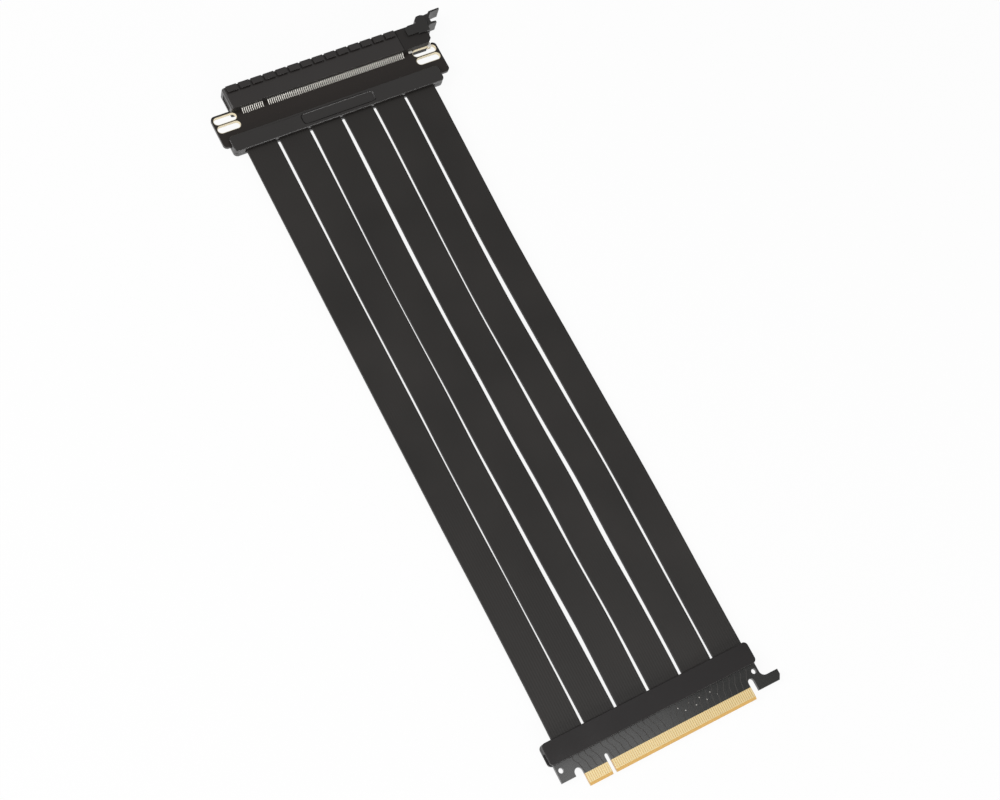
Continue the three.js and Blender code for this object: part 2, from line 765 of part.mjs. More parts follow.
function slotHead() {
  const head = new THREE.Group();
  const bar = earthBar(ribbonLap + 0.3);
  head.add(
    piece('slot_board', slotBoard(), boardMask),
    piece('slot_housing', slotHousing(), blackPlastic),
    piece('slot_shield', slotShield(), blackSteel),
    piece('latch', latch(), blackPlastic),
    piece('slot_cover_front', slotCoverFront(), coverPlastic),
    piece('slot_cover_back', mirrored(surface(slotCover())), coverPlastic),
    piece('slot_earth_bar_front', bar, tin),
    piece('slot_earth_bar_back', mirrored(bar), tin),
  );
  for (const section of ['short', 'long']) {
    const contacts = contactComb(section);
    head.add(piece(`contacts_front_${section}`, contacts, tin));
    head.add(piece(`contacts_back_${section}`, mirrored(contacts), tin));
  }
  lockPlaces.forEach((place, i) => head.add(piece(`board_lock_${i + 1}`, boardLock(place), tin)));
  head.position.y = slotHeadY;
  return head;
}

// The whole object stands with the middle of its underside at the origin
const riser = new THREE.Group();
riser.add(cardHead(), slotHead());
for (let i = 0; i < ribbonCount; i += 1) {
  riser.add(piece(`ribbon_${i + 1}`, ribbon(i), ribbonSkin));
}
const bounds = new THREE.Box3().setFromObject(riser);
const centre = bounds.getCenter(new THREE.Vector3());
riser.position.set(-centre.x, -centre.y, -bounds.min.z);

export default riser;
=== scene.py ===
import logging
from dataclasses import dataclass
from enum import Enum

import bmesh
import bpy
import numpy as np
from mathutils import Euler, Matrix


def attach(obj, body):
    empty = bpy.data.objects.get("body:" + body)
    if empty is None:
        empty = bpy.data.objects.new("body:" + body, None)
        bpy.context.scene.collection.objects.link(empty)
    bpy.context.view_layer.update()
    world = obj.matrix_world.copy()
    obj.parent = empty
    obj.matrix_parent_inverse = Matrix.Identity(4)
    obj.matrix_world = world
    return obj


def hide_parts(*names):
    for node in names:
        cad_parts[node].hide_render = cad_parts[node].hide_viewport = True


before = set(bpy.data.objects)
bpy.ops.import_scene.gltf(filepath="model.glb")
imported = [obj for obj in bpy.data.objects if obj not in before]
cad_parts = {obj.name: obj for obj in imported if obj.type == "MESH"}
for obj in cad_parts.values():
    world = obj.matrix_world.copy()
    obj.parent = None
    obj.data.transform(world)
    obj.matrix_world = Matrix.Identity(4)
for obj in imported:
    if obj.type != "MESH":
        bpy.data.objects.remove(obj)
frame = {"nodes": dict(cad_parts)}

log = logging.getLogger("riser")
MM = 0.001
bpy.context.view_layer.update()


# Meshes from arrays

Faces = list[list[int]]


def make_piece(name: str, points: np.ndarray, faces: Faces, smooth_angle: float) -> bpy.types.Object:
    """Makes a mesh object at the origin, closed shells turned outwards.

    Args:
        name: the piece's name.
        points: corners in millimetres, one row each.
        faces: corner numbers of each face.
        smooth_angle: edges flatter than this many degrees are shaded smooth.

    Returns:
        The new object, linked to the scene.
    """
    mesh = bpy.data.meshes.new(name)
    mesh.from_pydata((np.asarray(points, dtype=float) * MM).tolist(), [], faces)
    shell = bmesh.new()
    shell.from_mesh(mesh)
    bmesh.ops.recalc_face_normals(shell, faces=shell.faces)
    sharp = np.radians(smooth_angle)
    for edge in shell.edges:
        edge.smooth = len(edge.link_faces) == 2 and edge.calc_face_angle(0.0) < sharp
    for face in shell.faces:
        face.smooth = True
    shell.to_mesh(mesh)
    shell.free()
    piece = bpy.data.objects.new(name, mesh)
    bpy.context.scene.collection.objects.link(piece)
    return piece


def tube(rings: np.ndarray) -> tuple[np.ndarray, Faces]:
    """A closed skin over rings of corners: quads between ring i and i + 1, and a flat cap at each end.

    Args:
        rings: array (rings, corners in a ring, 3).

    Returns:
        Corners and faces.
    """
    count, size, _ = rings.shape
    i, j = np.meshgrid(np.arange(count - 1), np.arange(size), indexing="ij")
    k = (j + 1) % size
    quads = np.stack([i * size + j, i * size + k, (i + 1) * size + k, (i + 1) * size + j], axis=-1)
    faces = quads.reshape(-1, 4).tolist()
    faces.append(list(range(size))[::-1])
    faces.append(list(range((count - 1) * size, count * size)))
    return rings.reshape(-1, 3), faces


def loop_skin(rings: np.ndarray) -> tuple[np.ndarray, Faces]:
    """A closed skin whose last ring joins its first, as round a slot's rim.

    Args:
        rings: array (rings, corners in a ring, 3).

    Returns:
        Corners and faces.
    """
    count, size, _ = rings.shape
    i, j = np.meshgrid(np.arange(count), np.arange(size), indexing="ij")
    k, n = (j + 1) % size, (i + 1) % count
    quads = np.stack([i * size + j, i * size + k, n * size + k, n * size + j], axis=-1)
    return rings.reshape(-1, 3), quads.reshape(-1, 4).tolist()


def copies(points: np.ndarray, faces: Faces, offsets: np.ndarray) -> tuple[np.ndarray, Faces]:
    """Repeats one shape: corner p of copy i is p + offset i.

    Args:
        points: corners of one shape.
        faces: its faces.
        offsets: array (copies, 3) in millimetres.

    Returns:
        Corners and faces of all copies.
    """
    size = len(points)
    whole = (points[None, :, :] + offsets[:, None, :]).reshape(-1, 3)
    longer = [[corner + size * i for corner in face] for i in range(len(offsets)) for face in faces]
    return whole, longer


def joined(parts: list[tuple[np.ndarray, Faces]]) -> tuple[np.ndarray, Faces]:
    """Puts several shapes in one mesh.

    Args:
        parts: corners and faces of each shape.

    Returns:
        Corners and faces of them all.
    """
    faces: Faces = []
    start = 0
    for points, own in parts:
        faces += [[corner + start for corner in face] for face in own]
        start += len(points)
    return np.concatenate([points for points, _ in parts]), faces


def strip(path: np.ndarray, across: np.ndarray, width: float, thick: float) -> tuple[np.ndarray, Faces]:
    """A flat strip along a path: at each point a rectangle, width along across and thick along the
    path's normal.

    Args:
        path: array (points, 3), the strip's middle line.
        across: unit vector along the strip's width.
        width: full width.
        thick: full thickness.

    Returns:
        Corners and faces.
    """
    along = np.gradient(path, axis=0)
    along /= np.linalg.norm(along, axis=1, keepdims=True)
    normal = np.cross(along, across)
    normal /= np.linalg.norm(normal, axis=1, keepdims=True)
    signs = np.array([[-1, -1], [1, -1], [1, 1], [-1, 1]]) / 2
    rings = (
        path[:, None, :]
        + signs[None, :, 0, None] * width * np.asarray(across)[None, None, :]
        + signs[None, :, 1, None] * thick * normal[:, None, :]
    )
    return tube(rings)


def box(low: tuple[float, float, float], high: tuple[float, float, float]) -> tuple[np.ndarray, Faces]:
    """A plain block between two corners.

    Args:
        low: lowest corner.
        high: highest corner.

    Returns:
        Corners and faces.
    """
    (x0, y0, z0), (x1, y1, z1) = low, high
    ring = np.array([[x0, y0], [x1, y0], [x1, y1], [x0, y1]])
    rings = np.stack([np.column_stack([ring, np.full(4, z)]) for z in (z0, z1)])
    return tube(rings)


def smooth_curve(points: np.ndarray, steps: int) -> np.ndarray:
    """A centripetal Catmull-Rom curve through the points: knots are spaced by the square root of each
    chord, and each span is the usual pyramid of blends between its four nearest points.

    Args:
        points: array (points, 3).
        steps: number of points wanted, evenly spread over the spans.

    Returns:
        Array (steps, 3).
    """
    first = 2 * points[0] - points[1]
    last = 2 * points[-1] - points[-2]
    full = np.vstack([first, points, last])
    place = np.linspace(0, len(points) - 1 - 1e-9, steps)
    span = place.astype(int)
    part = (place - span)[:, None]
    p0, p1, p2, p3 = (full[span + i] for i in range(4))
    knot = [np.zeros((steps, 1))]
    for a, b in ((p0, p1), (p1, p2), (p2, p3)):
        knot.append(knot[-1] + np.sqrt(np.linalg.norm(b - a, axis=1, keepdims=True)))
    t0, t1, t2, t3 = knot
    t = t1 + part * (t2 - t1)
    a1 = (t1 - t) / (t1 - t0) * p0 + (t - t0) / (t1 - t0) * p1
    a2 = (t2 - t) / (t2 - t1) * p1 + (t - t1) / (t2 - t1) * p2
    a3 = (t3 - t) / (t3 - t2) * p2 + (t - t2) / (t3 - t2) * p3
    b1 = (t2 - t) / (t2 - t0) * a1 + (t - t0) / (t2 - t0) * a2
    b2 = (t3 - t) / (t3 - t1) * a2 + (t - t1) / (t3 - t1) * a3
    return (t2 - t) / (t2 - t1) * b1 + (t - t1) / (t2 - t1) * b2


# Finishes

Colour = tuple[float, float, float]


def grain_group() -> bpy.types.NodeTree:
    """The moulded grain that plastics, boards and metals share: two noises on Object coordinates.

    Returns:
        A node group with Scale and Blotch in, and Grain and Cloud out.
    """
    group = bpy.data.node_groups.new("grain", "ShaderNodeTree")
    face = group.interface
    face.new_socket("Scale", in_out="INPUT", socket_type="NodeSocketFloat")
    face.new_socket("Blotch", in_out="INPUT", socket_type="NodeSocketFloat")
    face.new_socket("Grain", in_out="OUTPUT", socket_type="NodeSocketFloat")
    face.new_socket("Cloud", in_out="OUTPUT", socket_type="NodeSocketFloat")
    nodes, links = group.nodes, group.links
    inlet = nodes.new("NodeGroupInput")
    outlet = nodes.new("NodeGroupOutput")
    place = nodes.new("ShaderNodeTexCoord")
    fine = nodes.new("ShaderNodeTexNoise")
    fine.inputs["Detail"].default_value = 3.0
    cloud = nodes.new("ShaderNodeTexNoise")
    cloud.inputs["Detail"].default_value = 2.0
    links.new(place.outputs["Object"], fine.inputs["Vector"])
    links.new(place.outputs["Object"], cloud.inputs["Vector"])
    links.new(inlet.outputs["Scale"], fine.inputs["Scale"])
    links.new(inlet.outputs["Blotch"], cloud.inputs["Scale"])
    links.new(fine.outputs["Fac"], outlet.inputs["Grain"])
    links.new(cloud.outputs["Fac"], outlet.inputs["Cloud"])
    return group


class Sheen(Enum):
    """How much a surface's gloss wanders from place to place."""

    EVEN = 0.04
    HANDLED = 0.12


@dataclass(frozen=True)
class Finish:
    """A surface: its colour, gloss and grain, as one material."""

    name: str
    colour: Colour
    roughness: float
    metallic: float = 0.0
    specular: float = 0.5
    grain_scale: float = 2500.0
    grain_height: float = 0.000004
    blotch_scale: float = 60.0
    sheen: Sheen = Sheen.EVEN

    def build(self, grain: bpy.types.NodeTree) -> bpy.types.Material:
        """Makes the material: Principled colour, roughness from the cloud and bump from the grain.

        Args:
            grain: the shared grain group.

        Returns:
            The material.
        """
        material = bpy.data.materials.new(self.name)
        material.use_nodes = True
        tree = material.node_tree
        shader = tree.nodes["Principled BSDF"]
        shader.inputs["Base Color"].default_value = (*self.colour, 1.0)
        shader.inputs["Metallic"].default_value = self.metallic
        shader.inputs["Specular IOR Level"].default_value = self.specular
        speck = tree.nodes.new("ShaderNodeGroup")
        speck.node_tree = grain
        speck.inputs["Scale"].default_value = self.grain_scale
        speck.inputs["Blotch"].default_value = self.blotch_scale
        spread = tree.nodes.new("ShaderNodeMapRange")
        spread.inputs["From Min"].default_value = 0.3
        spread.inputs["From Max"].default_value = 0.7
        spread.inputs["To Min"].default_value = self.roughness - self.sheen.value
        spread.inputs["To Max"].default_value = self.roughness + self.sheen.value
        tree.links.new(speck.outputs["Cloud"], spread.inputs["Value"])
        tree.links.new(spread.outputs["Result"], shader.inputs["Roughness"])
        bump = tree.nodes.new("ShaderNodeBump")
        bump.inputs["Strength"].default_value = 1.0
        bump.inputs["Distance"].default_value = self.grain_height
        tree.links.new(speck.outputs["Grain"], bump.inputs["Height"])
        tree.links.new(bump.outputs["Normal"], shader.inputs["Normal"])
        self.extra(tree, shader, speck)
        return material

    def extra(self, tree: bpy.types.NodeTree, shader: bpy.types.Node, speck: bpy.types.Node) -> None:
        """A plain finish adds nothing more.

        Args:
            tree: the material's nodes; not used.
            shader: its Principled node; not used.
            speck: its grain node; not used.
        """


@dataclass(frozen=True)
class TippedFinish(Finish):
    """Board varnish with bare laminate between the contact pads: below a given Y and left of a given X."""

    tip_colour: Colour = (0.66, 0.40, 0.12)
    tip_y: float = -0.17252
    tip_x: float = 0.0375

    def extra(self, tree: bpy.types.NodeTree, shader: bpy.types.Node, speck: bpy.types.Node) -> None:
        """Colour is the laminate's where Object Y is below tip_y and Object X below tip_x, and the
        varnish's elsewhere.

        Args:
            tree: the material's nodes.
            shader: its Principled node.
            speck: its grain node; not used.
        """
        place = tree.nodes.new("ShaderNodeTexCoord")
        split = tree.nodes.new("ShaderNodeSeparateXYZ")
        below, left, both = (tree.nodes.new("ShaderNodeMath") for _ in range(3))
        below.operation = left.operation = "LESS_THAN"
        both.operation = "MULTIPLY"
        below.inputs[1].default_value = self.tip_y
        left.inputs[1].default_value = self.tip_x
        blend = tree.nodes.new("ShaderNodeMix")
        blend.data_type = "RGBA"
        blend.inputs["A"].default_value = (*self.colour, 1.0)
        blend.inputs["B"].default_value = (*self.tip_colour, 1.0)
        tree.links.new(place.outputs["Object"], split.inputs["Vector"])
        tree.links.new(split.outputs["Y"], below.inputs[0])
        tree.links.new(split.outputs["X"], left.inputs[0])
        tree.links.new(below.outputs["Value"], both.inputs[0])
        tree.links.new(left.outputs["Value"], both.inputs[1])
        tree.links.new(both.outputs["Value"], blend.inputs["Factor"])
        tree.links.new(blend.outputs["Result"], shader.inputs["Base Color"])


@dataclass(frozen=True)
class CloudedFinish(Finish):
    """A dark skin whose colour drifts a little between two tones."""

    other: Colour = (0.03, 0.03, 0.03)

    def extra(self, tree: bpy.types.NodeTree, shader: bpy.types.Node, speck: bpy.types.Node) -> None:
        """Colour runs from colour to other with the cloud.

        Args:
            tree: the material's nodes.
            shader: its Principled node.
            speck: its grain node.
        """
        blend = tree.nodes.new("ShaderNodeMix")
        blend.data_type = "RGBA"
        blend.inputs["A"].default_value = (*self.colour, 1.0)
        blend.inputs["B"].default_value = (*self.other, 1.0)
        tree.links.new(speck.outputs["Cloud"], blend.inputs["Factor"])
        tree.links.new(blend.outputs["Result"], shader.inputs["Base Color"])


class Palette:
    """Every finish of the riser, built once."""

    def __init__(self) -> None:
        """Builds the shared grain and all materials."""
        grain = grain_group()
        self.made: dict[str, bpy.types.Material] = {}
        finishes = [
            Finish("housing plastic", (0.018, 0.016, 0.015), 0.55, specular=0.4),
            Finish("latch plastic", (0.011, 0.010, 0.009), 0.30, specular=1.0, sheen=Sheen.HANDLED),
            Finish("card cover plastic", (0.014, 0.012, 0.012), 0.38, specular=0.4, sheen=Sheen.HANDLED),
            Finish("slot cover plastic", (0.015, 0.013, 0.012), 0.30, specular=1.0),
            CloudedFinish("ribbon skin", (0.012, 0.011, 0.010), 0.44,
                          blotch_scale=25.0, grain_height=0.000003, other=(0.024, 0.021, 0.019)),
            TippedFinish("card varnish", (0.010, 0.010, 0.009), 0.15, specular=1.0, grain_height=0.000001),
            Finish("slot varnish", (0.019, 0.015, 0.013), 0.30, grain_height=0.000001),
            Finish("traces", (0.046, 0.042, 0.040), 0.50, specular=0.5, grain_height=0.000001),
            Finish("black steel", (0.022, 0.019, 0.018), 0.32, specular=0.8, grain_height=0.000002),
            Finish("tin", (0.95, 0.92, 0.85), 0.42, metallic=0.35, grain_height=0.000002),
            Finish("solder", (0.66, 0.64, 0.60), 0.42, metallic=0.8, grain_scale=900.0, grain_height=0.00001),
            Finish("gold", (0.92, 0.76, 0.42), 0.38, metallic=0.55, grain_height=0.000001),
            Finish("pale plating", (0.90, 0.80, 0.58), 0.40, metallic=0.6, grain_height=0.000001),
        ]
        for finish in finishes:
            self.made[finish.name] = finish.build(grain)

    def dress(self, piece: bpy.types.Object, finish: str) -> None:
        """Gives the piece that one material.

        Args:
            piece: object to dress.
            finish: name of the finish.
        """
        piece.data.materials.clear()
        piece.data.materials.append(self.made[finish])


def soften(piece: bpy.types.Object, width: float, segments: int = 2) -> None:
    """Welds a CAD node's loose triangles and rounds its sharp edges, so that they catch the light.

    Args:
        piece: the CAD node.
        width: width of the rounding in millimetres.
        segments: faces across it.
    """
    weld = piece.modifiers.new("weld", "WELD")
    weld.merge_threshold = 0.000002
    bevel = piece.modifiers.new("edge", "BEVEL")
    bevel.width = width * MM
    bevel.segments = segments
    bevel.limit_method = "ANGLE"
    bevel.angle_limit = np.radians(32)
    bevel.harden_normals = True
    bevel.use_clamp_overlap = False


def add_piece(name: str, shape: tuple[np.ndarray, Faces], palette: Palette, finish: str,
              body: str = "cable", smooth_angle: float = 35.0) -> bpy.types.Object:
    """Makes, dresses and mounts a new piece.

    Args:
        name: the piece's name.
        shape: corners and faces in millimetres.
        palette: the finishes.
        finish: which finish it gets.
        body: CAD body that it rides on.
        smooth_angle: edges flatter than this are smooth.

    Returns:
        The object.
    """
    piece = make_piece(name, *shape, smooth_angle=smooth_angle)
    palette.dress(piece, finish)
    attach(piece, body)
    log.info("%s: %d faces", name, len(piece.data.polygons))
    return piece


# Studio

@dataclass(frozen=True)
class SoftBox:
    """One rectangular lamp: where it hangs, the point that it faces, its sides in metres and its power."""

    name: str
    place: tuple[float, float, float]
    aim: tuple[float, float, float]
    size: tuple[float, float]
    watts: float

    def hang(self) -> None:
        """Makes the lamp and turns it towards its point."""
        data = bpy.data.lights.new(self.name, "AREA")
        data.shape = "RECTANGLE"
        data.size, data.size_y = self.size
        data.energy = self.watts
        lamp = bpy.data.objects.new(self.name, data)
        lamp.location = self.place
        way = np.array(self.aim) - np.array(self.place)
        way /= np.linalg.norm(way)
        lamp.rotation_euler = (np.arccos(-way[2]), 0.0, np.arctan2(way[1], way[0]) - np.pi / 2)
        bpy.context.scene.collection.objects.link(lamp)


@dataclass
class Studio:
    """Camera, floor, world and lamps. Lengths are in metres."""

    lens: float = 64.611
    sensor: float = 36.0
    eye_place: tuple[float, float, float] = (-0.2782, -0.20239, 0.72543)
    eye_turn: tuple[float, float, float] = (0.383916, -0.209138, -0.490108)
    floor_side: float = 12.0
    floor_level: float = -0.0002
    floor_white: float = 0.94
    sky_strength: float = 0.32
    boxes: tuple[SoftBox, ...] = (
        SoftBox("left", (-1.05, 0.25, 0.9), (0.0, 0.0, 0.0), (0.8, 0.8), 13.0),
        SoftBox("overhead", (0.07, -0.34, 1.0), (0.07, -0.339, 0.0), (0.62, 0.46), 1.5),
        SoftBox("card side", (0.0, -1.4, 0.5), (0.0, 0.0, 0.0), (1.2, 0.5), 12.0),
    )

    def camera(self) -> None:
        """Sets the camera at the photo's angle."""
        data = bpy.data.cameras.new("camera")
        data.sensor_width = self.sensor
        data.lens = self.lens
        data.clip_start = 0.01
        eye = bpy.data.objects.new("camera", data)
        eye.location = self.eye_place
        eye.rotation_euler = Euler(self.eye_turn, "XYZ")
        bpy.context.scene.collection.objects.link(eye)
        bpy.context.scene.camera = eye

    def floor(self) -> None:
        """Lays a plain pale floor that shows white to the camera and keeps a soft shadow."""
        mesh = bpy.data.meshes.new("floor")
        ways = ((-1, -1), (1, -1), (1, 1), (-1, 1))
        corners = [(x * self.floor_side, y * self.floor_side, self.floor_level) for x, y in ways]
        mesh.from_pydata(corners, [], [[0, 1, 2, 3]])
        floor = bpy.data.objects.new("floor", mesh)
        bpy.context.scene.collection.objects.link(floor)
        material = bpy.data.materials.new("floor")
        material.use_nodes = True
        tree = material.node_tree
        plain = tree.nodes["Principled BSDF"]
        plain.inputs["Base Color"].default_value = (0.82, 0.82, 0.82, 1.0)
        plain.inputs["Roughness"].default_value = 0.9
        plain.inputs["Specular IOR Level"].default_value = 0.1
        glow = tree.nodes.new("ShaderNodeEmission")
        glow.inputs["Color"].default_value = (1.0, 1.0, 1.0, 1.0)
        path = tree.nodes.new("ShaderNodeLightPath")
        seen = tree.nodes.new("ShaderNodeMath")
        seen.operation = "MAXIMUM"
        share = tree.nodes.new("ShaderNodeMath")
        share.operation = "MULTIPLY"
        share.inputs[1].default_value = self.floor_white
        blend = tree.nodes.new("ShaderNodeMixShader")
        out = tree.nodes["Material Output"]
        tree.links.new(path.outputs["Is Camera Ray"], seen.inputs[0])
        tree.links.new(path.outputs["Is Glossy Ray"], seen.inputs[1])
        tree.links.new(seen.outputs["Value"], share.inputs[0])
        tree.links.new(share.outputs["Value"], blend.inputs["Fac"])
        tree.links.new(plain.outputs["BSDF"], blend.inputs[1])
        tree.links.new(glow.outputs["Emission"], blend.inputs[2])
        tree.links.new(blend.outputs["Shader"], out.inputs["Surface"])
        mesh.materials.append(material)

    def light(self) -> None:
        """Even world light, the main box at the left, a weak one overhead and a low one at the card side."""
        world = bpy.data.worlds.new("world")
        world.use_nodes = True
        sky = world.node_tree.nodes["Background"]
        sky.inputs["Color"].default_value = (1.0, 1.0, 1.0, 1.0)
        sky.inputs["Strength"].default_value = self.sky_strength
        bpy.context.scene.world = world
        for soft_box in self.boxes:
            soft_box.hang()

    def build(self) -> None:
        """Sets up the view, the floor and the light."""
        self.floor()
        self.light()
        scene = bpy.context.scene
        scene.view_settings.view_transform = "Standard"
        log.info("studio: floor, world and three lamps")


# Ribbons

@dataclass
class Ribbons:
    """Six flat cables between the two heads, each with fine lengthwise ribs."""

    pitch: float = 16.35
    width: float = 15.0
    thick: float = 1.1
    edge: float = 0.3
    ribs: int = 12
    groove: float = 0.035
    sharpness: int = 8
    samples: int = 6
    steps: int = 130
    fine_steps: int = 2000
    origin_x: float = -5.825
    origin_y: float = -158.4
    top_z: float = 5.15
    drop: float = 2.55
    card_face: float = -154.1
    slot_face: float = 142.0
    inside: float = 1.5
    stations: tuple[float, ...] = (0, 12, 40, 70, 100, 130, 160, 190, 220, 250, 280, 296, 304.8)
    sway: tuple[tuple[float, ...], ...] = (
        (0.0, 0.2, 0.4, 0.4, 0.2, 0.2, 0.2, 0.2, 0.1, 0.1, 0.0, 0.0, 0.0),
        (0.0, 0.0, -0.2, -0.4, -0.4, -0.5, -0.2, -0.3, -0.4, -0.2, 0.0, 0.0, 0.0),
        (0.0, 0.1, 0.5, 0.0, -0.3, -0.8, -0.8, -1.1, -1.2, -0.8, -0.3, 0.0, 0.0),
        (0.0, 0.2, 0.2, -0.3, 0.0, -0.5, -0.6, -0.9, -0.7, -0.3, 0.1, 0.1, 0.0),
        (0.0, 0.3, 0.4, 0.5, 0.7, -0.2, -0.9, -1.5, -1.3, -0.7, -0.1, 0.1, 0.0),
        (0.0, 0.0, 0.1, 0.4, 0.4, 0.0, -0.3, -0.7, -0.9, -0.5, -0.1, 0.1, 0.0),
    )
    dip: tuple[float, ...] = (1.0, 0.98, 0.94, 0.96, 1.0, 1.02, 1.0, 0.94, 0.78, 0.52, 0.2, 0.04, 0.0)

    def route(self, index: int) -> np.ndarray:
        """Middle line of one ribbon: its pitch line plus sway, and the sag between the heads' heights.

        Args:
            index: ribbon, from 0 at the left.

        Returns:
            Array (points, 3) in millimetres, from just inside one cover to just inside the other.
        """
        stations = np.array(self.stations)
        middle = (len(self.sway) - 1) / 2
        x = self.origin_x + (index - middle) * self.pitch + np.array(self.sway[index])
        y = self.origin_y + stations
        z = self.top_z - self.drop * np.array(self.dip)
        line = smooth_curve(np.column_stack([x, y, z]), self.fine_steps)
        wanted = np.linspace(self.card_face - self.inside, self.slot_face + self.inside, self.steps)
        return np.column_stack([np.interp(wanted, line[:, 1], line[:, axis]) for axis in range(3)])

    def section(self) -> np.ndarray:
        """Outline of a ribbon: half thickness less a narrow groove between ribs, groove times
        cos(pi ribs u) to the power of sharpness, and quarter-round long edges.

        Returns:
            Array (corners, 2): place across the ribbon and height.
        """
        flat = self.width / 2 - self.edge
        u = np.linspace(0, 1, self.ribs * self.samples + 1)
        across = -flat + 2 * flat * u
        height = self.thick / 2 - self.groove * np.cos(np.pi * self.ribs * u) ** self.sharpness
        height[[0, -1]] = self.thick / 2
        turn = np.linspace(0, np.pi / 2, 5)[1:]
        rounding = self.thick / 2 - self.edge * (1 - np.cos(turn))
        right = np.column_stack([flat + self.edge * np.sin(turn), rounding])
        over = np.column_stack([across, height])
        under = np.column_stack([across[::-1], -height[::-1]])
        right_side = np.vstack([right, right[::-1] * [1, -1]])
        left_side = np.vstack([right * [-1, -1], (right * [-1, 1])[::-1]])
        return np.vstack([over, right_side, under, left_side])

    def ribbon(self, index: int, palette: Palette) -> None:
        """Args:
            index: ribbon, from 0 at the left.
            palette: the finishes.
        """
        line = self.route(index)
        along = np.gradient(line, axis=0)
        along /= np.linalg.norm(along, axis=1, keepdims=True)
        side = np.cross(along, [0.0, 0.0, 1.0])
        side /= np.linalg.norm(side, axis=1, keepdims=True)
        up = np.cross(side, along)
        outline = self.section()
        rings = (
            line[:, None, :]
            + outline[None, :, 0, None] * side[:, None, :]
            + outline[None, :, 1, None] * up[:, None, :]
        )
        name = f"flat_cable_{index + 1}"
        piece = add_piece(name, tube(rings), palette, "ribbon skin", smooth_angle=60.0)
        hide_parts(f"ribbon_{index + 1}")

    def build(self, palette: Palette) -> None:
        """Makes all six ribbons.

        Args:
            palette: the finishes.
        """
        for index in range(len(self.sway)):
            self.ribbon(index, palette)


# Contact rows, shared by both heads

@dataclass
class ContactRow:
    """Places of the 11 and 71 contacts along X, in millimetres."""

    middle: float = -5.825
    pitch: float = 1.0
    short: int = 11
    long: int = 71
    key_step: float = 3.0

    def places(self, long: bool) -> np.ndarray:
        """X of each contact: the row is centred, with the key step between its two groups.

        Args:
            long: the group right of the key, or the one left of it.

        Returns:
            Array of X.
        """
        whole = (self.short + self.long - 2) * self.pitch + self.key_step
        first = self.middle - whole / 2
        if not long:
            return first + np.arange(self.short) * self.pitch
        return first + (self.short - 1) * self.pitch + self.key_step + np.arange(self.long) * self.pitch


# Card head

@dataclass
class CardHead:
    """Card board with its gold contact tongue, traces and two cover shells."""

    face: float = 3.4
    board_thick: float = 1.6
    pad_top: float = -172.5
    cover_near: float = -164.1
    trace_width: float = 0.34
    trace_thick: float = 0.035
    wave: float = 2.2
    ripple: float = 0.25
    every: int = 3
    turn_x: float = -6.0
    via_radius: float = 0.26
    via_span: tuple[float, float] = (2.0, 24.0)
    via_pitch: float = 2.75
    via_rows: tuple[float, float] = (-166.4, -168.6)

    def dress(self, palette: Palette) -> None:
        """Gives the CAD nodes their finishes and rounded edges.

        Args:
            palette: the finishes.
        """
        nodes = frame["nodes"]
        palette.dress(nodes["card_board"], "card varnish")
        for side in ("front", "back"):
            palette.dress(nodes[f"card_cover_{side}"], "card cover plastic")
            soften(nodes[f"card_cover_{side}"], 0.35, 3)
            palette.dress(nodes[f"card_earth_bar_{side}"], "tin")
            for group in ("short", "long"):
                palette.dress(nodes[f"finger_pads_{side}_{group}"], "gold")
        log.info("card head: board, pads and covers dressed")

    def traces(self, palette: Palette) -> None:
        """Flat copper traces under the varnish, each an S between a pad and the cover:
        x = start + wave (1 - cos(pi t)) / 2 + ripple sin(3 pi t), y running from the pad to the cover.

        Args:
            palette: the finishes.
        """
        row = ContactRow()
        starts = np.concatenate([row.places(False), row.places(True)])
        starts = starts[np.arange(len(starts)) % self.every == 0]
        t = np.linspace(0, 1, 13)
        y = self.pad_top + 0.3 + t * (self.cover_near - self.pad_top - 0.1)
        bend = self.wave * (1 - np.cos(np.pi * t)) / 2 + self.ripple * np.sin(3 * np.pi * t)
        across = np.array([1.0, 0.0, 0.0])
        for side, level in (("front", self.face), ("back", self.face - self.board_thick)):
            parts = []
            for x in starts:
                path = np.column_stack([x + bend * np.sign(x - self.turn_x), y, np.full_like(y, level)])
                parts.append(strip(path, across, self.trace_width, 2 * self.trace_thick))
            add_piece(f"card_traces_{side}", joined(parts), palette, "traces")

    def vias(self, palette: Palette) -> None:
        """Small plated dots between the traces, in two staggered rows.

        Args:
            palette: the finishes.
        """
        turn = np.linspace(0, 2 * np.pi, 9)[:-1]
        ring = self.via_radius * np.column_stack([np.cos(turn), np.sin(turn)])
        low, high = self.face - 0.02, self.face + self.trace_thick
        disc = tube(np.stack([np.column_stack([ring, np.full(8, z)]) for z in (low, high)]))
        x = np.arange(*self.via_span, self.via_pitch)
        y = np.where(np.arange(len(x)) % 2 == 0, *self.via_rows)
        places = np.column_stack([x, y, np.zeros_like(x)])
        add_piece("card_vias", copies(*disc, places), palette, "solder")

    def build(self, palette: Palette) -> None:
        """Dresses the head and adds its traces and plated dots.

        Args:
            palette: the finishes.
        """
        self.dress(palette)
        self.traces(palette)
        self.vias(palette)


# Slot head

